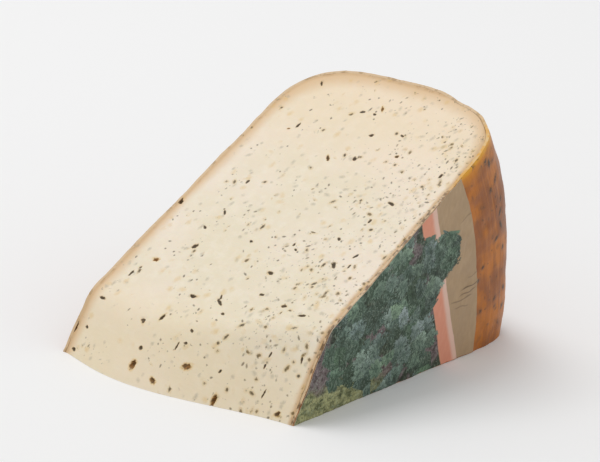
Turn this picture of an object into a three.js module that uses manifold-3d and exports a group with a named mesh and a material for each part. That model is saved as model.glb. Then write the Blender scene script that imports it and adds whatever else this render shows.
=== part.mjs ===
// A wedge cut from a round, Gouda-style cheese, lying on one of its two radial cuts.
// The wheel's axis runs across the wedge (X), its rim is at the back (+Y) and its labelled side faces +X.
// Millimetres, +Z up, the origin under the middle of the wedge.

import * as THREE from 'three';
import { mergeVertices } from 'three/addons/utils/BufferGeometryUtils.js';
import Module from 'manifold-3d';

const wasm = await Module();
wasm.setup();

// ---- driving dimensions ----

const wheel = {
  radius: 174, // at the belly of the rim
  thickness: 99, // of the paste and its rind, from flat side to flat side
  flatRadius: 140, // where a flat side starts to round into the rim
  rimPower: 3.3, // how square the rim's section is: 2 is an ellipse
  lean: 5, // degrees: the knife met the wheel a little off square, so its sides lean towards +X
  segments: 180,
  rimSteps: 28,
};

// How the knife went, as seen from the labelled side and from the plain one.
// base is the distance from the wheel's axis to the trimmed tip along the lower cut, slope the same along
// the upper cut, and angle the angle between the two cuts.
const cut = {
  labelled: { base: 35, slope: 57, angle: 33.2 },
  plain: { base: 26, slope: 43, angle: 30.7 },
  reach: 230, // past the rim
  overhang: 30, // past each flat side
  stepsAcross: 40,
  stepsAlong: 12,
};

// The trimmed tip isn't flat: between the two sides it stands forward, most on the plain side's half.
const tipBow = { depth: 9, plainPower: 1.3, labelledPower: 2 };

const coatThickness = 0.8; // the coloured plastic coat on the rind
const paperThickness = 0.3;
const labelRadius = 139.3;
const seam = 0.3; // clearance that separates the stuck-on layers

// ---- solids ----

function solidOf(geometry) {
  const bare = geometry.clone();
  bare.deleteAttribute('normal');
  bare.deleteAttribute('uv');
  const merged = mergeVertices(bare, 1e-4);
  const mesh = new wasm.Mesh({
    numProp: 3,
    vertProperties: merged.getAttribute('position').array,
    triVerts: new Uint32Array(merged.index.array),
  });
  return new wasm.Manifold(mesh);
}

function geometryOf(solid) {
  const mesh = solid.getMesh();
  const geometry = new THREE.BufferGeometry();
  geometry.setAttribute('position', new THREE.BufferAttribute(mesh.vertProperties, 3));
  geometry.setIndex(new THREE.BufferAttribute(mesh.triVerts, 1));
  geometry.computeVertexNormals();
  return geometry;
}

// Turns a shape made around Y so that it lies around the wheel's axis.
function ontoWheelAxis(geometry) {
  return geometry.rotateZ(-Math.PI / 2).rotateY(THREE.MathUtils.degToRad(wheel.lean));
}

// The whole wheel, made bigger all round by grow: two flat sides joined by a rounded rim.
function wheelSolid(grow) {
  const half = wheel.thickness / 2 + grow;
  const belly = wheel.radius + grow - wheel.flatRadius;
  const profile = [new THREE.Vector2(0, -half)];
  for (let i = 0; i <= wheel.rimSteps; i++) {
    const turn = (i / wheel.rimSteps - 0.5) * Math.PI;
    const across = Math.sign(turn) * Math.abs(Math.sin(turn)) ** (2 / wheel.rimPower);
    const out = Math.max(Math.cos(turn), 0) ** (2 / wheel.rimPower);
    profile.push(new THREE.Vector2(wheel.flatRadius + belly * out, half * across));
  }
  profile.push(new THREE.Vector2(0, half));
  return solidOf(ontoWheelAxis(new THREE.LatheGeometry(profile, wheel.segments)));
}

// How far the tip stands forward at a share of the way from the plain side to the labelled one.
function bowAt(share) {
  const { depth, plainPower, labelledPower } = tipBow;
  const rise = (part) => Math.max(part, 0) ** plainPower * Math.max(1 - part, 0) ** labelledPower;
  return (depth * rise(share)) / rise(plainPower / (plainPower + labelledPower));
}

// One slice of the block that the knife leaves: its four corners in the plane at x, near the tip and past the rim.
function blockSlice(x) {
  const half = wheel.thickness / 2;
  const share = (x + half) / (2 * half);
  const at = (key) => THREE.MathUtils.lerp(cut.plain[key], cut.labelled[key], share);
  const angle = THREE.MathUtils.degToRad(at('angle'));
  const onSlope = (distance) => new THREE.Vector3(x, distance * Math.cos(angle), distance * Math.sin(angle));
  const bow = bowAt(share);
  return {
    tipLow: new THREE.Vector3(x, at('base') - bow, 0),
    tipHigh: onSlope(at('slope') - bow),
    rimLow: new THREE.Vector3(x, cut.reach, 0),
    rimHigh: onSlope(cut.reach),
  };
}

// The block between the lower cut, the upper cut and the trimmed tip. The upper cut twists a little, because the
// knife came out at a different angle than it went in.
function knifeBlock() {
  const block = new THREE.BoxGeometry(1, 1, 1, cut.stepsAcross, cut.stepsAlong, 1).translate(0.5, 0.5, 0.5);
  const reachAcross = wheel.thickness / 2 + cut.overhang;
  const place = block.getAttribute('position');
  for (let i = 0; i < place.count; i++) {
    const slice = blockSlice(THREE.MathUtils.lerp(-reachAcross, reachAcross, place.getX(i)));
    const low = slice.tipLow.lerp(slice.rimLow, place.getY(i));
    const high = slice.tipHigh.lerp(slice.rimHigh, place.getY(i));
    const point = low.lerp(high, place.getZ(i));
    place.setXYZ(i, point.x, point.y, point.z);
  }
  return solidOf(block);
}

const knife = knifeBlock();

// ---- the pieces ----

function cheese() {
  return wheelSolid(0).intersect(knife);
}

function rindCoat() {
  return wheelSolid(seam + coatThickness).subtract(wheelSolid(seam)).intersect(knife);
}

function paperLabel() {
  const inner = wheel.thickness / 2 + seam + coatThickness + seam;
  const disc = new THREE.CylinderGeometry(labelRadius, labelRadius, paperThickness, wheel.segments);
  return solidOf(ontoWheelAxis(disc.translate(0, inner + paperThickness / 2, 0))).intersect(knife);
}

const materials = {
  paste: new THREE.MeshStandardMaterial({ color: 0xeedfc8, roughness: 0.55, metalness: 0 }),
  coat: new THREE.MeshStandardMaterial({ color: 0xc07f3a, roughness: 0.4, metalness: 0 }),
  paper: new THREE.MeshStandardMaterial({ color: 0x5a6a52, roughness: 0.6, metalness: 0 }),
};

function part(name, solid, material) {
  const mesh = new THREE.Mesh(geometryOf(solid), material);
  mesh.name = name;
  return mesh;
}

const wedge = new THREE.Group();
wedge.add(part('cheese', cheese(), materials.paste));
wedge.add(part('rind_coat', rindCoat(), materials.coat));
wedge.add(part('paper_label', paperLabel(), materials.paper));

// The origin goes under the middle of the wedge.
const middle = new THREE.Box3().setFromObject(wedge, true).getCenter(new THREE.Vector3());
wedge.position.set(-middle.x, -middle.y, 0);

export default wedge;
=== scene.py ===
# A wedge of herb cheese, cut from a round wheel and lying on one of its two cuts.
# It has three pieces: the cheese paste, the coat on its rind and a paper label that was cut through with it.
import math
import random

import bmesh
import bpy
from mathutils import Matrix, Vector, noise


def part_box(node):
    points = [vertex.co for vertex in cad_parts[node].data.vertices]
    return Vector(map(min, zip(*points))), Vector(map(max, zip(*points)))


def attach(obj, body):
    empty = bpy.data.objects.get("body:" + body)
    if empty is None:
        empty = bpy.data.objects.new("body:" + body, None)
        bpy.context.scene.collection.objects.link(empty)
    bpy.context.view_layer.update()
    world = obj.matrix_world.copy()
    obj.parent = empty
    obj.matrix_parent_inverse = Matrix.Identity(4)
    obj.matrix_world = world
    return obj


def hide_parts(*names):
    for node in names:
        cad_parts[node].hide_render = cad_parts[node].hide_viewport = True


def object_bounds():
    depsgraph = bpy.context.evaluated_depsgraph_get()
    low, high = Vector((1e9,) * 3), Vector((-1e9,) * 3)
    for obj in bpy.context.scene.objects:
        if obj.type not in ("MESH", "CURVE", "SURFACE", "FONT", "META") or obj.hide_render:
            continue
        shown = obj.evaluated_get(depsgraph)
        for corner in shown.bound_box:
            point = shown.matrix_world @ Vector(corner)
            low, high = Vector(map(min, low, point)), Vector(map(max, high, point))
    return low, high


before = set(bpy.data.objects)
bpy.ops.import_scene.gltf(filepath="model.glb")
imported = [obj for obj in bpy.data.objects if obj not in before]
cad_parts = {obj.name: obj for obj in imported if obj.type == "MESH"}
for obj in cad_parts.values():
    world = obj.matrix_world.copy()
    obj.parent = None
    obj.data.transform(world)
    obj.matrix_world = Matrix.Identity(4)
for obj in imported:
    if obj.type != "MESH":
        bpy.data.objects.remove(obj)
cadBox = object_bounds()
mm = 0.001
print("frame: nodes", ", ".join(sorted(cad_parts)))


# ---- the wheel and the cuts ----
# These are the sizes that the frame was built with, so every piece follows the same surfaces.

wheel = {
    "radius": 174 * mm,
    "thickness": 99 * mm,
    "flatRadius": 140 * mm,  # where a flat side starts to round into the rim
    "rimPower": 3.3,
    "lean": math.radians(5),
    "coat": 0.8 * mm,
    "seam": 0.3 * mm,
    "labelRadius": 139.3 * mm,
}

knife = {
    "plain": {"base": 26 * mm, "slope": 43 * mm, "angle": math.radians(30.7)},
    "labelled": {"base": 35 * mm, "slope": 57 * mm, "angle": math.radians(33.2)},
    "bow": {"depth": 9 * mm, "plainPower": 1.3, "labelledPower": 2},
}

half = wheel["thickness"] / 2
coatGrow = wheel["seam"] + wheel["coat"]
cosLean = math.cos(wheel["lean"])
sinLean = math.sin(wheel["lean"])
tanLean = math.tan(wheel["lean"])
wheelAxis = Vector((cosLean, 0, -sinLean))
wheelUp = Vector((sinLean, 0, cosLean))

coatLow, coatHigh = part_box("rind_coat")
centre = Vector((
    coatLow.x + (half + coatGrow) / cosLean,
    coatHigh.y - wheel["radius"] - coatGrow,
    0,
))


def lerp(low, high, share):
    return low + (high - low) * share


def smoothStep(value, low, high):
    share = min(max((value - low) / (high - low), 0), 1)
    return share * share * (3 - 2 * share)


def cutAt(x):
    # where the knife went in the slice at x: the tip along the lower cut and the upper one, and the angle
    share = (x + half) / (2 * half)
    bow = knife["bow"]

    def rise(part):
        return max(part, 0) ** bow["plainPower"] * max(1 - part, 0) ** bow["labelledPower"]

    peak = bow["plainPower"] / (bow["plainPower"] + bow["labelledPower"])
    forward = bow["depth"] * rise(share) / rise(peak)
    base = lerp(knife["plain"]["base"], knife["labelled"]["base"], share)
    slope = lerp(knife["plain"]["slope"], knife["labelled"]["slope"], share)
    angle = lerp(knife["plain"]["angle"], knife["labelled"]["angle"], share)
    return base - forward, slope - forward, angle


def tipPoint(axial, up):
    z = 0
    for _ in range(4):  # x depends a little on z, because the wheel leans
        x = axial * cosLean + (z + axial * sinLean) * tanLean
        base, slope, angle = cutAt(x)
        z = slope * math.sin(angle) * up
    return Vector((x, lerp(base, slope * math.cos(angle), up), z))


def rimPoint(axial, radius, up):
    x = axial
    for _ in range(4):
        lift = math.tan(cutAt(x)[2] * up)
        turn = math.atan2(lift, cosLean) + math.asin(axial * sinLean / (radius * math.hypot(cosLean, lift)))
        x = axial * cosLean + radius * math.sin(turn) * sinLean
    return Vector((x, radius * math.cos(turn), radius * math.sin(turn) * cosLean - axial * sinLean))


def rimSection(columns, grow):
    # (axial, radius) of places at equal steps round the rim, from the plain side to the labelled one
    belly = wheel["radius"] + grow - wheel["flatRadius"]
    power = 2 / wheel["rimPower"]
    fine = 4000
    line = []
    for i in range(fine + 1):
        turn = (i / fine - 0.5) * math.pi
        axial = (half + grow) * math.copysign(abs(math.sin(turn)) ** power, turn)
        line.append(Vector((axial, wheel["flatRadius"] + belly * max(math.cos(turn), 0) ** power)))
    run = [0]
    for before, after in zip(line, line[1:]):
        run.append(run[-1] + (after - before).length)
    places = []
    at = 0
    for column in range(columns + 1):
        goal = run[-1] * column / columns
        while at < fine - 1 and run[at + 1] < goal:
            at += 1
        places.append(line[at].lerp(line[at + 1], (goal - run[at]) / (run[at + 1] - run[at])))
    return places


def wheelPlace(point):
    # (axial, radius) of a point about the wheel's axis
    axial = point.dot(wheelAxis)
    return axial, math.hypot(point.y, point.dot(wheelUp))


def rindDepth(point):
    # how far a point lies under the rind's outside
    axial, radius = wheelPlace(point)
    side = abs(axial) / half
    out = max(radius - wheel["flatRadius"], 0) / (wheel["radius"] - wheel["flatRadius"])
    if out == 0:
        return max(half - abs(axial), 0)
    power = wheel["rimPower"]
    size = (side ** power + out ** power) ** (1 / power)
    belly = wheel["radius"] - wheel["flatRadius"]
    slope = math.hypot(side ** (power - 1) / half, out ** (power - 1) / belly) / size ** (power - 1)
    return min(max(1 - size, 0) / max(slope, 1e-6), half)


# ---- how knife, hands and age have worked the shape ----

handwork = {
    "tipRound": 2.2 * mm,  # how far the corner between the tip and the upper cut is softened
    "knifeWave": 0.45 * mm,
    "knifeWaveLength": 32 * mm,
    "rindWave": 0.9 * mm,
    "rindWaveLength": 24 * mm,
    "rindRipple": 0.45 * mm,
    "rindRippleLength": 5 * mm,
    "shoulderDent": 1.6 * mm,  # on the labelled side, where the rim meets the upper cut
    "rindReach": 12 * mm,  # how deep into the paste the rind's waves still move it
    "creaseAngle": math.radians(48),  # sharper bends than this are shaded as edges
}


def unevenness(point, wave, seed):
    # 0 to 1
    place = Vector(point) / wave + Vector((seed, 0, 0))
    return min(max(0.5 + 0.55 * noise.noise(place) + 0.2 * noise.noise(place * 2.7), 0), 1)


def worked(point, up):
    # moves a point of the clean shape; it is the same for every piece, so that they stay together
    base, slope, angle = cutAt(point.x)
    topNormal = Vector((0, -math.sin(angle), math.cos(angle)))
    underTop = -point.dot(topNormal)
    tipHigh = Vector((0, slope * math.cos(angle), slope * math.sin(angle)))
    along = (tipHigh - Vector((0, base, 0))).normalized()
    tipNormal = Vector((0, -along.z, along.y))
    behindTip = -(point - Vector((point.x, base, 0))).dot(tipNormal)

    reach = handwork["tipRound"]
    near = max(reach - abs(underTop - behindTip), 0)
    corner = near * near / (4 * reach) * math.exp(-max(min(underTop, behindTip), 0) / reach)
    shift = -(topNormal + tipNormal).normalized() * corner

    wave = handwork["knifeWave"]
    length = handwork["knifeWaveLength"]
    shift -= topNormal * wave * unevenness(point, length, 3) * math.exp(-max(underTop, 0) / length)
    shift -= tipNormal * wave * unevenness(point, length, 11) * math.exp(-max(behindTip, 0) / length)

    axial, radius = wheelPlace(point)
    side = abs(axial) / half
    out = max(radius - wheel["flatRadius"], 0) / (wheel["radius"] - wheel["flatRadius"])
    outward = (point - wheelAxis * axial) / max(radius, mm) * out ** 2.3
    outward += wheelAxis * math.copysign(min(side, 1.1) ** 2.3, axial)
    if outward.length > 0.02:
        swell = handwork["rindWave"] * (unevenness(point, handwork["rindWaveLength"], 23) - 0.45)
        swell += handwork["rindRipple"] * (unevenness(point, handwork["rindRippleLength"], 31) - 0.6)
        shoulder = smoothStep(axial, 0.2 * half, 0.6 * half) * smoothStep(axial, 1.02 * half, 0.84 * half)
        swell -= handwork["shoulderDent"] * shoulder * smoothStep(out, 0.3, 0.8) * smoothStep(up, 0.75, 1)
        shift += outward.normalized() * swell * math.exp(-rindDepth(point) / handwork["rindReach"])

    moved = point + shift
    moved.x = min(max(moved.x, coatLow.x - centre.x), coatHigh.x - centre.x)
    moved.y = min(moved.y, coatHigh.y - centre.y)
    moved.z = max(moved.z, 0) if up > 0 else 0
    return moved


atStart = 0.0001  # shares of the lattice that count as its two ends
atEnd = 0.9999


def lattice(cellsAcross, cellsOut, cellsUp):
    # a cube whose three kinds of edges are cut into as many cells as asked
    mesh = bmesh.new()
    bmesh.ops.create_cube(mesh, size=1, matrix=Matrix.Translation((0.5, 0.5, 0.5)))
    for axis, cells in enumerate((cellsAcross, cellsOut, cellsUp)):
        uncut = [edge for edge in mesh.edges if abs((edge.verts[0].co - edge.verts[1].co)[axis]) > 0.9]
        bmesh.ops.subdivide_edges(mesh, edges=uncut, cuts=cells - 1, use_grid_fill=True)
    return mesh


def wedgeLattice(cells, grow, onlyRind=False):
    # the lattice laid into the wedge: across from side to side, out from tip to rim, up from cut to cut
    mesh = lattice(*cells)
    if onlyRind:
        cut = []
        for face in mesh.faces:
            _, out, up = face.calc_center_median()
            if out < atStart or up < atStart or up > atEnd:
                cut.append(face)
        bmesh.ops.delete(mesh, geom=cut, context="FACES")
    share = mesh.verts.layers.float_vector.new("share")
    section = rimSection(cells[0], grow)
    for vert in mesh.verts:
        vert[share] = vert.co
        across, out, up = vert.co
        axial, radius = section[round(across * cells[0])]
        clean = tipPoint(axial, up).lerp(rimPoint(axial, radius, up), out)
        vert.co = worked(clean, up)
    return mesh, share


def pieceOf(name, mesh, materials, node):
    # turns a finished bmesh, laid out about the wheel's centre, into a piece that stands for its node
    bmesh.ops.translate(mesh, vec=centre, verts=mesh.verts)
    data = bpy.data.meshes.new(name)
    mesh.to_mesh(data)
    mesh.free()
    data.shade_smooth()
    piece = bpy.data.objects.new(name, data)
    bpy.context.scene.collection.objects.link(piece)
    for material in materials:
        data.materials.append(material)
    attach(piece, "root")
    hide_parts(node)
    return piece


def crisp(piece):
    piece.data.set_sharp_from_angle(angle=handwork["creaseAngle"])
    print(piece.name + ":", len(piece.data.polygons), "faces")
    return piece


def thicken(piece, thickness, shares=""):
    # gives a skin its thickness inwards, with the second material on its cut edges, and keeps it off the
    # floor; shares names a vertex group that thins it
    skin = piece.modifiers.new("thickness", "SOLIDIFY")
    skin.thickness = thickness
    skin.vertex_group = shares
    skin.offset = -1
    skin.material_offset_rim = 1
    solid = piece.evaluated_get(bpy.context.evaluated_depsgraph_get())
    data = bpy.data.meshes.new_from_object(solid)
    piece.modifiers.clear()
    piece.data = data
    for vert in data.vertices:
        vert.co.z = max(vert.co.z, 0)
    return crisp(piece)


# ---- shader tools ----

class Signal:
    # a socket that sums and products can be written with
    def __init__(self, finish, socket):
        self.finish = finish
        self.socket = socket

    def __add__(self, other):
        return self.finish.maths("ADD", self, other)

    def __sub__(self, other):
        return self.finish.maths("SUBTRACT", self, other)

    def __rsub__(self, other):
        return self.finish.maths("SUBTRACT", other, self)

    def __mul__(self, other):
        return self.finish.maths("MULTIPLY", self, other)

    def __truediv__(self, other):
        return self.finish.maths("DIVIDE", self, other)

    def __pow__(self, other):
        return self.finish.maths("POWER", self, other)

    def __abs__(self):
        return self.finish.maths("ABSOLUTE", self)

    __radd__ = __add__
    __rmul__ = __mul__


class Finish:
    # a material and what is needed to write its nodes down
    def __init__(self, name):
        self.material = bpy.data.materials.new(name)
        self.material.use_nodes = True
        self.nodes = self.material.node_tree.nodes
        self.links = self.material.node_tree.links
        self.nodes.clear()

    def node(self, kind, settings=None, inputs=None, output=0):
        made = self.nodes.new(kind)
        for key, value in (settings or {}).items():
            setattr(made, key, value)
        for key, value in (inputs or {}).items():
            if isinstance(value, Signal):
                self.links.new(value.socket, made.inputs[key])
            else:
                made.inputs[key].default_value = value
        return Signal(self, made.outputs[output])

    def other(self, signal, output):
        # another output of the node that a signal comes from
        return Signal(self, signal.socket.node.outputs[output])

    def maths(self, operation, *values):
        return self.node("ShaderNodeMath", {"operation": operation}, dict(enumerate(values)))

    def vector(self, operation, *values, output=0):
        return self.node("ShaderNodeVectorMath", {"operation": operation}, dict(enumerate(values)), output)

    def scaled(self, vector, factor):
        return self.node("ShaderNodeVectorMath", {"operation": "SCALE"}, {"Vector": vector, "Scale": factor})

    def mix(self, factor, first, second):
        settings = {"data_type": "RGBA", "clamp_factor": True}
        return self.node("ShaderNodeMix", settings, {0: factor, 6: first, 7: second}, 2)

    def smooth(self, value, low, high):
        # 0 where value is low, 1 where it is high
        settings = {"interpolation_type": "SMOOTHSTEP"}
        return self.node("ShaderNodeMapRange", settings, {"Value": value, "From Min": low, "From Max": high})

    def clouds(self, coords, size, detail=2, roughness=0.5, distortion=0):
        # noise whose blobs are about size across
        inputs = {"Vector": coords, "Scale": 1 / size, "Detail": detail, "Roughness": roughness}
        inputs["Distortion"] = distortion
        return self.node("ShaderNodeTexNoise", None, inputs, "Fac")

    def attribute(self, name):
        return self.node("ShaderNodeAttribute", {"attribute_name": name}, None, "Fac")

    def parts(self, vector):
        split = self.node("ShaderNodeSeparateXYZ", None, {"Vector": vector})
        return split, self.other(split, 1), self.other(split, 2)

    def joined(self, x, y, z):
        return self.node("ShaderNodeCombineXYZ", None, {0: x, 1: y, 2: z})

    def bump(self, height, distance):
        return self.node("ShaderNodeBump", None, {"Height": height, "Distance": distance}, "Normal")

    def wheelCoords(self):
        # the place on the wheel: along its axis, forward and up from its middle
        place = self.node("ShaderNodeTexCoord", None, None, "Object")
        inputs = {"Vector": place, "Location": centre, "Rotation": (0, wheel["lean"], 0)}
        return self.node("ShaderNodeMapping", {"vector_type": "TEXTURE"}, inputs)

    def surface(self, **sockets):
        # the last node: a Principled shader with the given sockets
        inputs = {name.replace("_", " "): value for name, value in sockets.items()}
        shader = self.node("ShaderNodeBsdfPrincipled", None, inputs)
        end = self.nodes.new("ShaderNodeOutputMaterial")
        self.links.new(shader.socket, end.inputs["Surface"])
        return self.material


def paint(red, green, blue):
    # a colour as it is read off a screen, 0 to 255, made linear
    def linear(value):
        share = value / 255
        return share / 12.92 if share <= 0.04045 else ((share + 0.055) / 1.055) ** 2.4

    return linear(red), linear(green), linear(blue), 1


# ---- herb flecks, shared by the paste and the coat ----

def flecks(finish, coords, cell, length, width, share, soft):
    # Small turned grains strewn through the cheese, one to a cell; share is how many of the cells hold one.
    # Gives the grains, a wider ring round them and a number that differs from grain to grain.
    settings = {"voronoi_dimensions": "3D"}
    seed = finish.node("ShaderNodeTexVoronoi", settings, {"Vector": coords, "Scale": 1 / cell}, "Position")
    hue = finish.other(seed, "Color")
    dice = finish.node("ShaderNodeTexWhiteNoise", {"noise_dimensions": "3D"}, {"Vector": seed}, "Value")
    turned = finish.node(
        "ShaderNodeVectorRotate",
        {"rotation_type": "EULER_XYZ"},
        {"Vector": finish.vector("SUBTRACT", coords, seed), "Rotation": finish.scaled(hue, 2 * math.pi)},
    )
    squeezed = finish.vector("MULTIPLY", turned, (1 / length, 1 / width, 1 / width))
    away = finish.vector("LENGTH", squeezed, output="Value")
    rough = finish.clouds(coords, width * 0.8, 3, 0.7)
    edge = away + (rough - 0.5) * 1.5
    held = finish.maths("LESS_THAN", dice, share)
    grains = finish.smooth(edge, 1 + 0.4 * soft, 1 - soft) * held
    ring = finish.smooth(edge, 2.2, 1) * held
    return grains, ring, dice


# ---- the paste ----

paste = {
    "cells": (128, 132, 54),
    "bitCuts": 3,  # how finely the mesh is cut round a bit that the knife opened
    # Bits that show on the upper cut: across from the wheel's middle, out from its axis, length, width,
    # turn in degrees, depth, and tone: 0 is a dark herb, 1 an amber hole. All but turn and tone in mm.
    "upperBits": [
        (4.2, 56.2, 4.8, 1.3, -34, 0.5, 0.15),
        (3.2, 58.4, 2.6, 0.9, -62, 0.4, 0.3),
        (9, 52, 1.9, 1.2, -10, 0.4, 0.2),
        (-7.6, 55, 3.3, 1.7, -8, 0.7, 0.3),
        (-39, 56, 3, 1.1, 84, 0.4, 0.1),
        (-34, 65, 2.9, 1.9, 6, 0.8, 0.9),
        (-45, 93.5, 4.2, 2.4, -52, 1.1, 0.1),
        (-23.2, 94, 2.8, 1.1, -50, 0.4, 0.1),
        (-25.8, 85, 2.1, 1.2, -30, 0.3, 0.2),
        (-3.2, 85, 1.9, 1.3, -30, 0.4, 0.1),
        (16.5, 87.2, 1.9, 1, -25, 0.3, 0.1),
        (-24.4, 142.3, 3, 1.3, 84, 0.5, 0.1),
        (-24.8, 110.3, 2.2, 1.4, 80, 0.3, 0),
        (-30, 165, 3.2, 1, -50, 0.4, 0.2),
        (8.8, 146, 2.2, 1.6, 15, 0.5, 0.05),
        (4.4, 159.3, 3, 1.1, -56, 0.4, 0.75),
        (3, 156, 1.7, 1.2, -20, 0.4, 0.1),
        (-1, 130.8, 3.7, 1.3, -50, 0.6, 0.55),
        (38.6, 118, 3.7, 1.4, -14, 0.5, 0.3),
        (48.8, 135.5, 3, 1.3, 84, 0.4, 0.1),
        (35.4, 85.6, 3.6, 1.8, -58, 0.6, 0.1),
        (29.6, 97, 2.1, 1.2, -34, 0.4, 0.2),
        (35.8, 108, 2.1, 1.2, 80, 0.4, 0.3),
        (21.4, 149, 2.1, 1.1, -20, 0.3, 0.1),
        (26, 139, 1.9, 1.3, 10, 0.4, 0.5),
        (-44.4, 131, 2.6, 1.2, 5, 0.6, 0.1),
        (17.6, 64.7, 2.1, 1.3, 0, 0.4, 0.1),
        (29.4, 63, 2.7, 1.5, 10, 0.4, 0.4),
        (39, 61.6, 3, 1.2, 20, 0.4, 0.1),
        (41, 92, 3, 1.1, 60, 0.4, 0),
        (41.6, 87, 2.4, 0.9, 85, 0.3, 0),
        (-42, 42, 3.4, 1.5, 4, 0.6, 0.3),
        (-12.4, 42.6, 3.9, 1.5, 78, 0.8, 0.4),
    ],
    # The same on the tip, with the height above the lower cut in place of the way out.
    "tipBits": [
        (-19.2, 19.6, 3.2, 1.7, -40, 0.8, 0.5),
        (-14.6, 11.5, 1.9, 1.4, 0, 0.6, 0.3),
        (-15, 6, 3.4, 2.6, 75, 1.3, 0.8),
        (-4.6, 3.2, 2.9, 1.7, -30, 0.7, 0.7),
        (6, 10.2, 3.9, 2.2, 10, 0.5, 0.85),
        (-0.7, 15.4, 3, 0.8, 80, 0.3, 0),
        (2.2, 17, 1.7, 0.9, 5, 0.3, 0.1),
        (2.4, 21, 1.8, 0.9, -20, 0.3, 0.1),
        (18.5, 11.2, 1.6, 1, 60, 0.4, 0.1),
        (19.8, 1.8, 4.2, 1.8, 86, 1.7, 0.8),
        (-46, 2.2, 2.2, 1.3, 0, 0.5, 0.3),
        (-43.4, 10.6, 1.7, 1.1, 0, 0.4, 0.3),
        (-49, 9, 4, 1.4, 84, 0.5, 0.2),
        (33.6, 16, 2, 0.9, 84, 0.3, 0),
        (34.2, 20, 2.2, 0.8, 80, 0.3, 0),
        (36.4, 7.4, 4, 0.7, 76, 0.3, 0),
        (43.6, 2.2, 2.4, 1.5, 40, 0.6, 0.6),
        (46.4, 21, 2.6, 0.9, -80, 0.3, 0),
    ],
    "strewn": {"upper": 8, "tip": 0, "lower": 44},  # how many more, at random
    "seed": 5,
    # Where those may lie, across and out, or up on the tip, in mm.
    "room": {"upper": ((-40, 40), (52, 162)), "tip": ((-40, 42), (3, 26)), "lower": ((-42, 44), (45, 160))},
    "cream": paint(245, 231, 212),
    "creamYellow": paint(238, 226, 200),
    "tan": paint(225, 190, 146),  # the zone beside the rind
    "rindStain": paint(192, 154, 110),
    "amber": paint(224, 188, 116),  # rings round sunken herbs
    "herbDark": paint(60, 48, 26),
    "herbLight": paint(122, 102, 64),
    "holeFloor": paint(158, 104, 36),
    "bitDark": paint(74, 54, 26),
}


def cutFaces():
    # for each of the three cut faces: how to tell it by a vertex's shares, and a vertex's place on it
    def upper(point):
        return point.x, math.hypot(point.y, point.z)

    def tip(point):
        return point.x, point.z

    def lower(point):
        return point.x, point.y

    return {
        "upper": (lambda share: share.z > atEnd, upper),
        "tip": (lambda share: share.y < atStart, tip),
        "lower": (lambda share: share.z < atStart, lower),
    }


def allBits():
    chance = random.Random(paste["seed"])
    bits = {"upper": list(paste["upperBits"]), "tip": list(paste["tipBits"]), "lower": []}
    for face, count in paste["strewn"].items():
        for _ in range(count):
            place = [chance.uniform(*limits) for limits in paste["room"][face]]
            size = chance.uniform(1.2, 3)
            shape = (size, size * chance.uniform(0.35, 0.7), chance.uniform(0, 180))
            bits[face].append((*place, *shape, chance.uniform(0.2, 0.6), chance.random() ** 1.5))
    return bits


def openBits(mesh, share):
    # cuts the mesh finely round each bit and sinks it a little, and marks it for the paint
    faces = cutFaces()
    bits = allBits()
    edges = set()
    inward = {name: Vector() for name in faces}
    for name, (onFace, placeOf) in faces.items():
        for face in mesh.faces:
            if not all(onFace(vert[share]) for vert in face.verts):
                continue
            inward[name] -= face.normal * face.calc_area()
            across, out = placeOf(face.calc_center_median())
            for bit in bits[name]:
                if math.hypot(across / mm - bit[0], out / mm - bit[1]) < bit[2] / 2 + 0.9:
                    edges.update(face.edges)
                    break
    bmesh.ops.subdivide_edges(mesh, edges=list(edges), cuts=paste["bitCuts"], use_grid_fill=True)
    opening = mesh.verts.layers.float.new("opening")
    tone = mesh.verts.layers.float.new("tone")
    for direction in inward.values():
        direction.normalize()
    for vert in mesh.verts:
        vert[opening] = -2
    moves = []
    for name, (onFace, placeOf) in faces.items():
        for vert in mesh.verts:
            if not onFace(vert[share]):
                continue
            across, out = placeOf(vert.co)
            ragged = 0.35 * noise.noise(vert.co / (0.7 * mm))
            for bitAcross, bitOut, length, width, turn, depth, bitTone in bits[name]:
                right = across / mm - bitAcross
                forward = out / mm - bitOut
                if abs(right) > length or abs(forward) > length:
                    continue
                cosTurn = math.cos(math.radians(turn))
                sinTurn = math.sin(math.radians(turn))
                along = (right * cosTurn + forward * sinTurn) / (length / 2)
                beside = (forward * cosTurn - right * sinTurn) / (width / 2)
                inside = 1 - math.hypot(along, beside) + ragged
                if inside > vert[opening]:
                    vert[opening] = inside
                    vert[tone] = bitTone
                if inside > 0:
                    moves.append((vert, inward[name] * depth * mm * smoothStep(inside, 0, 0.7)))
    for vert, move in moves:
        vert.co += move
        vert.co.z = max(vert.co.z, 0)
    bmesh.ops.recalc_face_normals(mesh, faces=mesh.faces)


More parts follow.
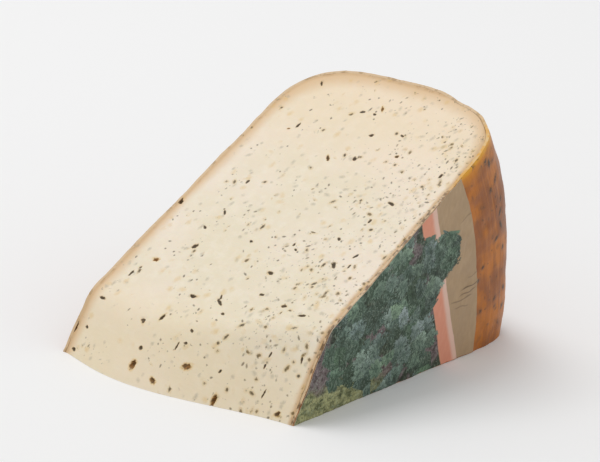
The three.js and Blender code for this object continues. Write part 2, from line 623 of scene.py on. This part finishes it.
def pasteFinish():
    finish = Finish("cheesePaste")
    coords = finish.wheelCoords()
    axial, forward, up = finish.parts(coords)
    depth = finish.attribute("rindDepth")
    opening = finish.attribute("opening")
    tone = finish.attribute("tone")

    # cream, yellower in clouds, warmer outwards, and tan beside the rind
    radius = finish.vector("LENGTH", finish.joined(0, forward, up), output="Value")
    clouds = finish.clouds(coords, 40 * mm, 3)
    cream = finish.mix(finish.smooth(clouds, 0.35, 0.65), paste["cream"], paste["creamYellow"])
    mottle = finish.clouds(coords, 5 * mm, 3, 0.6)
    cream = finish.mix(finish.smooth(mottle, 0.4, 0.75) * 0.4, cream, paint(252, 242, 225))
    cream = finish.mix(finish.smooth(radius, 105 * mm, 168 * mm) * 0.6, cream, paint(246, 223, 191))
    cream = finish.mix(finish.smooth(radius, 60 * mm, 34 * mm) * 0.5, cream, paint(240, 220, 184))
    farOut = finish.smooth(radius, 140 * mm, 165 * mm)
    plainSide = finish.smooth(axial, -0.2 * half, -0.8 * half)
    band = 2.2 + farOut * 6.4 + plainSide * 4 + (finish.clouds(coords, 13 * mm, 3) - 0.5) * 7
    rindward = 1 - finish.smooth(depth / finish.maths("MAXIMUM", band, 1.5), 0, 1)
    colour = finish.mix(rindward * 0.88, cream, paste["tan"])
    blotch = finish.smooth(finish.clouds(coords, 4 * mm, 3, 0.6), 0.5, 0.68)
    nearRind = 1 - finish.smooth(depth, 0.2, 2)
    colour = finish.mix(nearRind * (0.35 + blotch * 0.4), colour, paste["rindStain"])

    # herbs: more towards the labelled side, and in drifts
    drift = finish.clouds(coords, 15 * mm, 2)
    right = finish.smooth(axial, -8 * mm, 46 * mm)
    plenty = 0.06 + right * 0.52 + (drift - 0.5) * 1.5
    bold, boldRing, boldDice = flecks(finish, coords, 3.9 * mm, 1.5 * mm, 0.66 * mm, plenty, 0.5)
    small, _, smallDice = flecks(finish, coords, 2.5 * mm, 1.1 * mm, 0.46 * mm, plenty * 1.15, 0.6)
    dust, _, _ = flecks(finish, coords, 1.5 * mm, 0.5 * mm, 0.25 * mm, plenty * 0.9, 0.7)
    sunk, _, _ = flecks(finish, coords, 3.4 * mm, 1.7 * mm, 0.85 * mm, 0.16 + plenty * 0.9, 0.9)
    amber, _, _ = flecks(finish, coords, 6 * mm, 2 * mm, 1.3 * mm, 0.5, 0.9)
    colour = finish.mix(amber * 0.45, colour, paste["amber"])
    colour = finish.mix(sunk * 0.4, colour, paint(152, 146, 126))
    colour = finish.mix(boldRing * 0.35, colour, paint(222, 190, 128))
    colour = finish.mix(dust * 0.5, colour, paint(100, 92, 72))
    smallHerb = finish.mix(smallDice * 3, paint(70, 58, 34), paint(134, 120, 90))
    boldHerb = finish.mix(boldDice * 3, paste["herbDark"], paste["herbLight"])
    colour = finish.mix(small * 0.76, colour, smallHerb)
    colour = finish.mix(bold * 0.88, colour, boldHerb)

    # what the knife opened: a dark herb, or a hole with a darker floor in an amber ring
    halo = finish.smooth(opening, -0.6, 0.15) * (0.35 + finish.smooth(tone, 0.1, 0.8) * 0.65)
    colour = finish.mix(halo * 0.55, colour, paint(226, 186, 104))
    openColour = finish.mix(finish.smooth(tone, 0.3, 1), paste["bitDark"], paste["holeFloor"])
    crumbs = finish.smooth(finish.clouds(coords, 0.9 * mm, 2), 0.4, 0.6)
    openColour = finish.mix(crumbs * 0.6, openColour, paint(34, 24, 12))
    colour = finish.mix(finish.smooth(opening, -0.08, 0.3) * 0.92, colour, openColour)

    # fine grain, knife drag across the cut and a small edge at each fleck
    drag = finish.clouds(finish.vector("MULTIPLY", coords, (0.05, 1, 1)), 0.9 * mm, 2)
    grain = finish.clouds(coords, 0.7 * mm, 4, 0.65)
    lumps = finish.clouds(coords, 3.5 * mm, 2)
    relief = drag * 0.35 + grain * 0.4 + lumps * 0.9 - bold * 0.5 - small * 0.3
    roughness = 0.46 + finish.clouds(coords, 6 * mm, 3) * 0.16 + rindward * 0.08
    return finish.surface(
        Base_Color=colour,
        Roughness=roughness,
        Normal=finish.bump(relief, 0.12 * mm),
        Specular_IOR_Level=0.35,
        Subsurface_Weight=0.12,
        Subsurface_Radius=(1.0, 0.72, 0.42),
        Subsurface_Scale=1.6 * mm,
        IOR=1.45,
    )


def makePaste():
    mesh, share = wedgeLattice(paste["cells"], 0)
    openBits(mesh, share)
    depth = mesh.verts.layers.float.new("rindDepth")
    for vert in mesh.verts:
        vert[depth] = rindDepth(vert.co) / mm
    return crisp(pieceOf("cheesePaste", mesh, [pasteFinish()], "cheese"))


# ---- the rind's coat ----

rind = {
    "cells": (132, 70, 56),
    "gap": 0.03 * mm,  # between the paste and the coat
    "orange": paint(188, 110, 20),
    "brown": paint(148, 84, 30),
    "streakDark": paint(132, 80, 42),
    "streakLight": paint(200, 130, 56),
    # painted light: the next three colours brighten the coat along the upper cut and on the shoulder, as
    # light shows through it
    "cutLitTan": paint(206, 168, 126),  # where it gets thin along the upper cut
    "shoulderLitOrange": paint(218, 138, 12),
    "shoulderLitYellow": paint(226, 164, 20),
    "herb": paint(48, 36, 20),
    # Its cut edge: the tan, its stains away from the label and beside it, and the painted light on the
    # shoulder, yellow where light shows through the coat.
    "edgeTan": paint(214, 184, 144),
    "edgeStain": paint(184, 152, 110),
    "edgeStainLabelled": paint(122, 94, 62),
    "edgeLitYellow": paint(222, 162, 44),
    "edgeLitPaleYellow": paint(222, 184, 120),
}


def cutDistance(finish, axial, radius, turn):
    # how far below the upper cut a place on the rind is, in mm
    plain = knife["plain"]["angle"]
    labelled = knife["labelled"]["angle"]
    angle = (axial / (2 * half) + 0.5) * (labelled - plain) + plain
    leant = axial * wheel["lean"] / radius
    return (angle + leant - turn) * radius / mm


def shoulderShare(finish, axial, radius):
    # 1 on the shoulder between the label and the rim
    onSide = finish.smooth(axial, 0.5 * half, 0.9 * half) * finish.smooth(radius, 172 * mm, 160 * mm)
    return finish.smooth(radius, 128 * mm, 142 * mm) * onSide


def coatFinish():
    finish = Finish("rindCoat")
    coords = finish.wheelCoords()
    axial, forward, height = finish.parts(coords)
    radius = finish.vector("LENGTH", finish.joined(0, forward, height), output="Value")
    turn = finish.maths("ARCTAN2", height, forward)
    # streaks run the way the wheel was rolled
    around = finish.joined(axial, radius, turn * 6 * mm)
    streaks = finish.clouds(around, 1.3 * mm, 3, 0.6)
    onRim = 0.35 + finish.smooth(radius, 136 * mm, 156 * mm) * 0.65
    patches = finish.clouds(coords, 14 * mm, 3, 0.55)
    colour = finish.mix(finish.smooth(patches, 0.38, 0.62), rind["orange"], rind["brown"])
    colour = finish.mix(finish.smooth(streaks, 0.46, 0.7) * onRim * 0.5, colour, rind["streakDark"])
    colour = finish.mix(finish.smooth(streaks, 0.5, 0.3) * onRim * 0.4, colour, rind["streakLight"])

    # painted light along the upper cut, where light shows through the thin coat: tan, and deep orange and
    # yellow on the shoulder
    toCut = cutDistance(finish, axial, radius, turn)
    shoulder = shoulderShare(finish, axial, radius)
    reach = 2 + shoulder * 7 + (patches - 0.5) * 5
    throughLight = 1 - finish.smooth(toCut / finish.maths("MAXIMUM", reach, 1), 0, 1)
    throughLightColour = finish.mix(shoulder, rind["cutLitTan"], rind["shoulderLitOrange"])
    colour = finish.mix(throughLight * 0.95, colour, throughLightColour)
    # painted light: the brightest deep yellow at the brink of the shoulder
    shoulderLitBrink = finish.smooth(toCut + (patches - 0.5) * 4, 3.4, 0.8) * shoulder
    colour = finish.mix(shoulderLitBrink * 0.85, colour, rind["shoulderLitYellow"])

    # herbs show dark through the coat
    drift = finish.clouds(coords, 13 * mm, 2)
    bold, boldRing, _ = flecks(finish, coords, 4.6 * mm, 2.3 * mm, 0.95 * mm, 0.5 + (drift - 0.5) * 1.6, 0.6)
    small, _, _ = flecks(finish, coords, 2.8 * mm, 1.2 * mm, 0.5 * mm, 0.45 + (drift - 0.5), 0.7)
    colour = finish.mix(boldRing * 0.35, colour, paint(112, 72, 36))
    colour = finish.mix(small * 0.6, colour, paint(84, 60, 34))
    colour = finish.mix(bold * 0.85, colour, rind["herb"])

    grain = finish.clouds(coords, 0.9 * mm, 3, 0.6)
    relief = streaks * onRim * 0.8 + grain * 0.35 + patches * 0.5 + bold * 0.4
    roughness = 0.34 + finish.clouds(coords, 5 * mm, 3) * 0.16
    return finish.surface(
        Base_Color=colour,
        Roughness=roughness,
        Normal=finish.bump(relief, 0.22 * mm),
        Specular_IOR_Level=0.3,
    )


def coatEdgeFinish():
    # the coat's own thickness, seen where the knife cut it
    finish = Finish("rindCoatEdge")
    coords = finish.wheelCoords()
    axial, forward, height = finish.parts(coords)
    radius = finish.vector("LENGTH", finish.joined(0, forward, height), output="Value")
    labelled = finish.smooth(axial, 0, half)
    mottle = finish.smooth(finish.clouds(coords, 3.5 * mm, 3, 0.65) + labelled * 0.07, 0.5, 0.66)
    nearLabel = labelled * finish.smooth(radius, 168 * mm, 152 * mm)
    stain = finish.mix(nearLabel, rind["edgeStain"], rind["edgeStainLabelled"])
    tan = finish.mix(mottle, rind["edgeTan"], stain)
    # painted light: higher up on the shoulder the cut edge is painted yellow, as light shows through the
    # coat
    higherLit = finish.smooth(height, 20 * mm, 60 * mm)
    uneven = finish.smooth(finish.clouds(coords, 2.4 * mm, 3, 0.6), 0.4, 0.62)
    litYellow = finish.mix(uneven, rind["edgeLitYellow"], rind["edgeLitPaleYellow"])
    colour = finish.mix(shoulderShare(finish, axial, radius) * higherLit, tan, litYellow)
    return finish.surface(Base_Color=colour, Roughness=0.45)


def coatDepth(vert):
    # how deep the coat reaches down to the paste, which is a little more on the rounded shoulders
    axial, radius = wheelPlace(vert.co)
    across = min(abs(axial) / (half + coatGrow), 1)
    out = max(radius - wheel["flatRadius"], 0) / (wheel["radius"] + coatGrow - wheel["flatRadius"])
    facing = min(abs(vert.normal.dot(wheelAxis)), 1)
    share = across * facing + out * math.sqrt(1 - facing ** 2)
    return max(share, 1) * coatGrow - rind["gap"]


def makeCoat():
    mesh, _ = wedgeLattice(rind["cells"], coatGrow, onlyRind=True)
    mesh.normal_update()
    depths = [coatDepth(vert) for vert in mesh.verts]
    deepest = max(depths)
    piece = pieceOf("rindCoat", mesh, [coatFinish(), coatEdgeFinish()], "rind_coat")
    group = piece.vertex_groups.new(name="depth")
    for index, depth in enumerate(depths):
        group.add([index], depth / deepest, "REPLACE")
    return thicken(piece, deepest, "depth")


# ---- the label ----

label = {
    "cells": (250, 160),
    "paper": 0.2 * mm,
    "gap": 0.03 * mm,
    "inset": 0.1 * mm,
    "torn": 0.9 * mm,  # how far the cut edge is frayed
    # Creases: start and end, forward and up from the wheel's middle, height and half width, in mm.
    "creases": [
        ((125, 33), (137, 35.4), 0.55, 0.75),
        ((125, 30.6), (135, 32.2), -0.4, 0.7),
        ((120, 28.8), (133, 30), 0.35, 0.7),
        ((123, 26.4), (132, 26), -0.25, 0.7),
        ((128, 37.5), (137, 39), 0.22, 0.8),
        ((117, 62), (127, 66), 0.2, 1),
        ((60, 20), (92, 31), 0.16, 1.1),
        ((78, 12), (104, 17), 0.14, 1),
    ],
    # The stripe runs up the label as a straight band: a point of its middle, its lean and its half width.
    "stripeAt": (124 * mm, 6 * mm),
    "stripeLean": math.radians(22.4),
    "stripeHalf": 4.4 * mm,
    "kraft": (paint(190, 162, 128), paint(164, 138, 106)),
    "salmon": (paint(228, 160, 132), paint(214, 140, 114)),
    "stripePale": paint(226, 190, 172),
    "soil": (paint(42, 50, 38), paint(74, 84, 66)),
    "violet": (paint(92, 76, 76), paint(142, 124, 128)),
    "olive": (paint(176, 176, 126), paint(92, 98, 62)),
    "sprigGround": (paint(50, 64, 52), paint(80, 98, 82)),
    # Layers of printed leaves: how far apart and how big, in mm, how many of the places are filled, and the
    # colours of their hearts and of greener and greyer leaves.
    "tufts": [
        (10, 8, 0.85, (48, 62, 46), (88, 116, 82), (98, 118, 112)),
        (7.5, 6.2, 0.6, (54, 72, 56), (106, 138, 104), (134, 152, 150)),
        (6.5, 4.8, 0.42, (70, 92, 78), (146, 174, 142), (168, 182, 184)),
    ],
}


def creaseAt(forward, up):
    # how high the paper stands there
    total = 0
    for (startY, startZ), (endY, endZ), tall, wide in label["creases"]:
        start = Vector((startY, startZ))
        run = Vector((endY, endZ)) - start
        place = Vector((forward / mm, up / mm)) - start
        along = place.dot(run) / run.length_squared
        off = abs(place.x * run.y - place.y * run.x) / run.length
        off += 0.25 * math.sin(along * 9 + startY)
        fade = smoothStep(along, -0.12, 0.25) * smoothStep(along, 1.12, 0.75)
        total += tall * mm * fade * math.exp(-(off / wide) ** 2)
    return total


def labelFinish():
    finish = Finish("paperLabel")
    coords = finish.wheelCoords()
    _, forward, up = finish.parts(coords)
    flat = finish.joined(forward, up, 0)
    wobble = finish.clouds(flat, 9 * mm, 2)

    # kraft border with fibres
    fibres = finish.clouds(finish.vector("MULTIPLY", flat, (1, 0.25, 1)), 1.2 * mm, 4, 0.6)
    kraft = finish.mix(fibres, *label["kraft"])
    kraft = finish.mix(finish.smooth(wobble, 0.3, 0.8) * 0.4, kraft, paint(158, 134, 108))

    # the stripe, paler towards the rim
    startY, startZ = label["stripeAt"]
    lean = label["stripeLean"]
    across = (forward - startY) * math.cos(lean) + (up - startZ) * math.sin(lean)
    bandHalf = label["stripeHalf"]
    onStripe = finish.smooth(abs(across), bandHalf + 0.25 * mm, bandHalf - 0.25 * mm)
    pale = finish.smooth(across, 0.2 * bandHalf, 0.7 * bandHalf)
    salmon = finish.mix(fibres, *label["salmon"])
    stripe = finish.mix(pale, salmon, label["stripePale"])
    colour = finish.mix(onStripe, kraft, stripe)

    # ground of the printed herb bed: dark, with brown-violet patches, and olive by the lower tip
    inner = finish.smooth(across, -bandHalf + 0.3 * mm, -bandHalf - 0.3 * mm)
    soil = finish.clouds(flat, 2.4 * mm, 4, 0.7)
    patch = finish.smooth(finish.clouds(flat, 9 * mm, 2), 0.46, 0.56)
    ground = finish.mix(finish.smooth(soil, 0.35, 0.65), *label["soil"])
    violet = finish.mix(finish.smooth(soil, 0.35, 0.65), *label["violet"])
    ground = finish.mix(patch * 0.85, ground, violet)
    stalks = finish.clouds(finish.vector("MULTIPLY", flat, (0.5, 1, 1)), 2.1 * mm, 4, 0.7)
    stalks = finish.smooth(stalks, 0.36, 0.68)
    olive = finish.mix(stalks, *label["olive"])
    low = finish.smooth(up + (wobble - 0.5) * 16 * mm, 19 * mm, 11 * mm)
    nearTip = finish.smooth(forward + (wobble - 0.5) * 14 * mm, 94 * mm, 68 * mm)
    ground = finish.mix(low * nearTip, ground, olive)
    bareTip = finish.smooth(forward + (wobble - 0.5) * 8 * mm, 51 * mm, 46 * mm) * (1 - low)
    ground = finish.mix(bareTip * 0.8, ground, violet)

    # a sprig of it lies over the stripe and the border
    frayed = (finish.clouds(flat, 2 * mm, 3, 0.7) - 0.5) * 0.7 + (wobble - 0.5) * 0.8
    sprig = finish.smooth(sprigReach(finish, forward, up) + frayed, 1.08, 0.98)
    leafy = finish.maths("MAXIMUM", inner, sprig)
    ground = finish.mix(sprig * (1 - inner), ground, finish.mix(soil, *label["sprigGround"]))
    colour = finish.mix(leafy, colour, ground)

    # tufts of curled leaves, in layers from dark to light
    for tuft in label["tufts"]:
        tuftColour, mask = tuftLayer(finish, flat, *tuft)
        colour = finish.mix(mask, colour, tuftColour)
    colour = finish.mix(sprig * 0.3, colour, paint(40, 58, 48))
    fine = finish.clouds(finish.vector("MULTIPLY", flat, (1, 0.6, 1)), 1.2 * mm, 3, 0.7, 1.5)
    colour = finish.mix(finish.smooth(fine, 0.5, 0.34) * leafy * 0.7, colour, paint(30, 40, 30))
    colour = finish.mix(finish.smooth(fine, 0.52, 0.66) * leafy * 0.42, colour, paint(158, 176, 158))

    # painted shade: the print is darkened along the sharpest folds, where the creases' valleys would be
    # shaded
    foldShade = 0
    for start, end, tall, _ in label["creases"]:
        foldShade = foldLine(finish, forward, up, start, end) * min(1.3 * abs(tall), 0.6) + foldShade
    colour = finish.mix(foldShade, colour, paint(66, 54, 42))

    sheen = finish.clouds(flat, 8 * mm, 2)
    return finish.surface(
        Base_Color=colour,
        Roughness=0.42 + sheen * 0.16,
        Specular_IOR_Level=0.22,
        Normal=finish.bump(fibres * 0.5 + wobble * 0.8 - foldShade * 2, 0.08 * mm),
    )


def foldLine(finish, forward, up, start, end):
    # a thin uneven line from start to end, fading at both ends
    run = Vector(end) - Vector(start)
    along = ((forward / mm - start[0]) * run.x + (up / mm - start[1]) * run.y) / run.length_squared
    off = ((forward / mm - start[0]) * run.y - (up / mm - start[1]) * run.x) / run.length
    wander = finish.maths("SINE", along * 9 + start[0]) * 0.25
    ends = finish.smooth(along, -0.05, 0.2) * finish.smooth(along, 1.05, 0.8)
    return finish.smooth(abs(off + wander), 0.42, 0.06) * ends


def sprigReach(finish, forward, up):
    # under 1 within the sprig, whose head is over the border
    def lobe(middleY, middleZ, sizeY, sizeZ):
        away = ((forward - middleY * mm) / (sizeY * mm)) ** 2 + ((up - middleZ * mm) / (sizeZ * mm)) ** 2
        return finish.maths("SQRT", away)

    head = finish.maths("MINIMUM", lobe(110, 50, 10.5, 9.5), lobe(101, 47, 11, 12))
    return finish.maths("MINIMUM", head, lobe(104, 38, 7, 9))


def tuftLayer(finish, flat, cell, size, share, shade, green, grey):
    # one curled, lobed leaf to a cell, turned at random; it is there only if its middle is in the herb bed
    size = size * mm
    inputs = {"Vector": flat, "Scale": 1 / (cell * mm)}
    seed = finish.node("ShaderNodeTexVoronoi", {"voronoi_dimensions": "2D"}, inputs, "Position")
    dice = finish.node("ShaderNodeTexWhiteNoise", {"noise_dimensions": "2D"}, {"Vector": seed}, "Value")
    _, second, third = finish.parts(finish.other(dice, "Color"))
    right, forward, _ = finish.parts(finish.vector("SUBTRACT", flat, seed))
    turn = finish.maths("ARCTAN2", forward, right) + dice * 2 * math.pi
    away = finish.vector("LENGTH", finish.joined(right, forward, 0), output="Value")
    curl = finish.clouds(flat, size * 0.5, 4, 0.75) - 0.5
    lobes = abs(finish.maths("SINE", turn * 3.5 + curl * 9))
    fringe = abs(finish.maths("SINE", turn * 13 + curl * 16))
    reach = (0.5 + lobes * 0.3 + fringe * 0.2 + curl * 1.5) * size
    mask = finish.smooth(reach - away, 0, 0.3 * mm)

    # fine strokes outwards, lighter on the side towards the upper cut, dark in the heart
    shaded = finish.smooth(finish.clouds(flat, 13 * mm, 2), 0.56, 0.44)
    stroke = fringe * 0.5 + lobes * 0.25 + forward / size * 0.3 + curl * 1.2
    tint = finish.mix(second, paint(*green), paint(*grey))
    colour = finish.mix(finish.smooth(stroke, 0, 0.9), paint(*shade), tint)
    colour = finish.mix(finish.smooth(away / size, 0.45, 0) * 0.6, colour, paint(*shade))
    colour = finish.mix(shaded * 0.5, colour, paint(*shade))

    seedY, seedZ, _ = finish.parts(seed)
    startY, startZ = label["stripeAt"]
    lean = label["stripeLean"]
    across = (seedY - startY) * math.cos(lean) + (seedZ - startZ) * math.sin(lean)
    bed = finish.smooth(across, -6 * mm, -9 * mm)
    bare = finish.smooth(seedY, 84 * mm, 64 * mm) * finish.smooth(seedZ, 17 * mm, 11 * mm)
    bed = bed * (1 - bare) * finish.smooth(seedY, 47 * mm, 51 * mm)
    sprig = finish.smooth(sprigReach(finish, seedY, seedZ), 1, 0.85)
    held = finish.maths("LESS_THAN", third, finish.maths("MAXIMUM", bed, sprig) * share)
    return colour, mask * held


def paperEdgeFinish():
    finish = Finish("paperEdge")
    coords = finish.wheelCoords()
    fibres = finish.clouds(coords, 0.6 * mm, 3)
    colour = finish.mix(fibres, paint(214, 200, 178), paint(184, 168, 144))
    return finish.surface(Base_Color=colour, Roughness=0.8)


def makeLabel():
    mesh = bmesh.new()
    cellsOut, cellsUp = label["cells"]
    bmesh.ops.create_grid(mesh, x_segments=cellsOut, y_segments=cellsUp, size=0.5)
    axial = half + coatGrow + label["gap"] + label["paper"]
    for vert in mesh.verts:
        out = vert.co.x + 0.5
        up = vert.co.y + 0.5
        fray = unevenness((out * 20, up * 14, 0), 0.35, 2) * unevenness((out * 20, up * 14, 0), 1.6, 9)
        inset = (label["inset"] + label["torn"] * fray) / (70 * mm)
        out = lerp(inset, 1, out)
        up = lerp(inset, 1 - inset, up)
        clean = tipPoint(axial, up).lerp(rimPoint(axial, wheel["labelRadius"], up), out)
        lift = creaseAt(clean.y, clean.dot(wheelUp))
        curl = smoothStep(wheelPlace(clean)[1], 134 * mm, 139 * mm) * unevenness(clean, 12 * mm, 7)
        vert.co = worked(clean, up) + wheelAxis * max(lift + 0.12 * mm * curl, -0.5 * label["gap"])
    bmesh.ops.recalc_face_normals(mesh, faces=mesh.faces)
    if sum(face.normal.x for face in mesh.faces) < 0:
        bmesh.ops.reverse_faces(mesh, faces=mesh.faces)
    piece = pieceOf("paperLabel", mesh, [labelFinish(), paperEdgeFinish()], "paper_label")
    return thicken(piece, label["paper"])


# ---- the stage ----

stage = {
    "floorHalf": 4.0,
    "floorDrop": 0.05 * mm,  # under the wedge, so that the two don't flicker
    "floorColour": (0.93, 0.93, 0.93, 1),
    "sky": 0.64,
    "keyPower": 26,
    "keySize": 1.5,
    "keyPlace": Vector((-0.95, 0, 2.55)),
}

view = {
    "turn": math.radians(38.69),
    "lift": math.radians(18.96),
    "roll": math.radians(3.55),
    "distance": 1018 * mm,
    "aim": Vector((-8.4, 4.5, -5.4)) * mm,  # from the middle of the object's box
    "lens": 165.1,
}


def makeStage():
    mesh = bmesh.new()
    bmesh.ops.create_grid(mesh, x_segments=1, y_segments=1, size=stage["floorHalf"])
    bmesh.ops.translate(mesh, vec=(0, 0, -stage["floorDrop"]), verts=mesh.verts)
    data = bpy.data.meshes.new("floor")
    mesh.to_mesh(data)
    mesh.free()
    floor = bpy.data.objects.new("floor", data)
    bpy.context.scene.collection.objects.link(floor)
    finish = Finish("floor")
    data.materials.append(finish.surface(Base_Color=stage["floorColour"], Roughness=0.85))

    world = bpy.data.worlds.new("studio")
    world.use_nodes = True
    world.node_tree.nodes["Background"].inputs["Color"].default_value = (1, 1, 1, 1)
    world.node_tree.nodes["Background"].inputs["Strength"].default_value = stage["sky"]
    bpy.context.scene.world = world

    lamp = bpy.data.lights.new("key", "AREA")
    lamp.energy = stage["keyPower"]
    lamp.size = stage["keySize"]
    key = bpy.data.objects.new("key", lamp)
    key.location = stage["keyPlace"]
    key.rotation_euler = (-stage["keyPlace"]).to_track_quat("-Z", "Y").to_euler()
    bpy.context.scene.collection.objects.link(key)


def makeCamera():
    low, high = cadBox
    turn, lift, roll = view["turn"], view["lift"], view["roll"]
    back = Vector((math.sin(turn) * math.cos(lift), -math.cos(turn) * math.cos(lift), math.sin(lift)))
    right = Vector((math.cos(turn), math.sin(turn), 0))
    up = back.cross(right)
    rolledRight = right * math.cos(roll) + up * math.sin(roll)
    rolledUp = up * math.cos(roll) - right * math.sin(roll)
    camera = bpy.data.objects.new("camera", bpy.data.cameras.new("camera"))
    camera.data.lens = view["lens"]
    camera.data.sensor_width = 36
    camera.data.clip_start = 0.01
    turned = Matrix((rolledRight, rolledUp, back)).transposed().to_4x4()
    place = (low + high) / 2 + view["aim"] + back * view["distance"]
    camera.matrix_world = Matrix.Translation(place) @ turned
    bpy.context.scene.collection.objects.link(camera)
    bpy.context.scene.camera = camera


makeCamera()
makeStage()
bpy.context.scene.view_settings.view_transform = "Standard"
makePaste()
makeCoat()
makeLabel()
